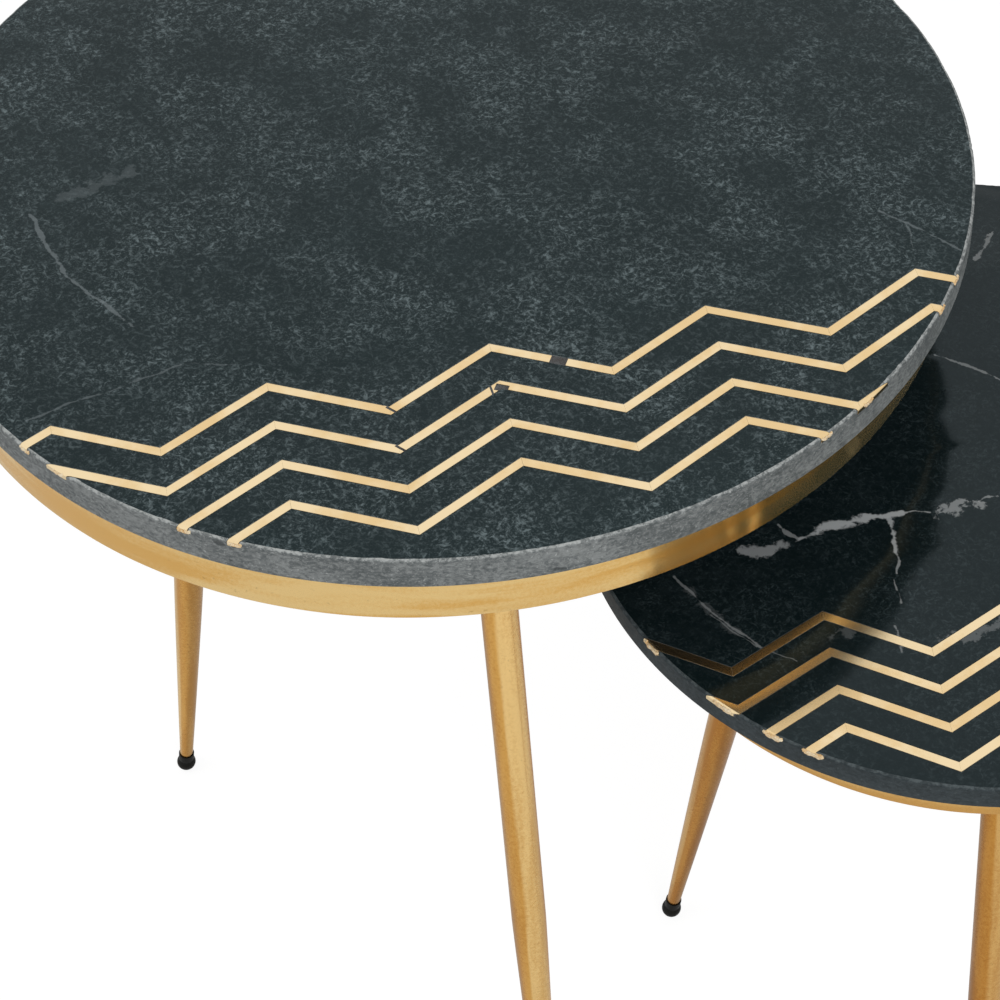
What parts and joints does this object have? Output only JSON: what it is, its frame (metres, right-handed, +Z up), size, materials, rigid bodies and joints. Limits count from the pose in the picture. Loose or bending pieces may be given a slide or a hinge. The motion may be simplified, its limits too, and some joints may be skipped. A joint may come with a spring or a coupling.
{
  "type": "nesting tables",
  "caption": "Nesting side tables with round marble tops, zigzag brass inlay, brass apron rings and splayed tapered legs; the smaller slides under the larger.",
  "frame": {"origin": "on the floor, under the middle of the pair's outside box at rest", "axes": "+X from the large table towards the small one, +Z up"},
  "size_m": [0.715, 0.5, 0.585],
  "materials": {
    "dark_marble": "near-black blue-green marble with fine pale flecks and veins, honed on the large top and polished on the small one",
    "inlay_brass": "pale satin brass, ground flush",
    "ring_brass": "warm satin antique brass, lightly smudged",
    "leg_brass": "satin antique brass with darker patina",
    "black_rubber": "matte black",
    "black_board": "black painted board",
    "plate_steel": "black coated steel",
    "stud_steel": "zinc plated",
    "screw_steel": "zinc plated"
  },
  "bodies": {
    "large_table": {"large_marble_top": "dark_marble", "large_inlay_strip_1": "inlay_brass", "large_inlay_strip_2": "inlay_brass", "large_inlay_strip_3": "inlay_brass", "large_inlay_strip_4": "inlay_brass", "large_apron_ring": "ring_brass", "large_base_board": "black_board", "large_leg_plate_1": "plate_steel", "large_leg_stud_1": "stud_steel", "large_leg_1": "leg_brass", "large_foot_1": "black_rubber", "large_plate_screw_1_1": "screw_steel", "large_plate_screw_1_2": "screw_steel", "large_plate_screw_1_3": "screw_steel", "large_leg_plate_2": "plate_steel", "large_leg_stud_2": "stud_steel", "large_leg_2": "leg_brass", "large_foot_2": "black_rubber", "large_plate_screw_2_1": "screw_steel", "large_plate_screw_2_2": "screw_steel", "large_plate_screw_2_3": "screw_steel", "large_leg_plate_3": "plate_steel", "large_leg_stud_3": "stud_steel", "large_leg_3": "leg_brass", "large_foot_3": "black_rubber", "large_plate_screw_3_1": "screw_steel", "large_plate_screw_3_2": "screw_steel", "large_plate_screw_3_3": "screw_steel"},
    "small_table": {"small_marble_top": "dark_marble", "small_inlay_strip_1": "inlay_brass", "small_inlay_strip_2": "inlay_brass", "small_inlay_strip_3": "inlay_brass", "small_inlay_strip_4": "inlay_brass", "small_apron_ring": "ring_brass", "small_base_board": "black_board", "small_leg_plate_1": "plate_steel", "small_leg_stud_1": "stud_steel", "small_leg_1": "leg_brass", "small_foot_1": "black_rubber", "small_plate_screw_1_1": "screw_steel", "small_plate_screw_1_2": "screw_steel", "small_plate_screw_1_3": "screw_steel", "small_leg_plate_2": "plate_steel", "small_leg_stud_2": "stud_steel", "small_leg_2": "leg_brass", "small_foot_2": "black_rubber", "small_plate_screw_2_1": "screw_steel", "small_plate_screw_2_2": "screw_steel", "small_plate_screw_2_3": "screw_steel", "small_leg_plate_3": "plate_steel", "small_leg_stud_3": "stud_steel", "small_leg_3": "leg_brass", "small_foot_3": "black_rubber", "small_plate_screw_3_1": "screw_steel", "small_plate_screw_3_2": "screw_steel", "small_plate_screw_3_3": "screw_steel"}
  },
  "joints": [
    {"name": "small_table_slide", "type": "slide", "parent": "large_table", "child": "small_table", "axis": [1, 0, 0], "range_m": [-0.033, 0.2]}
  ]
}
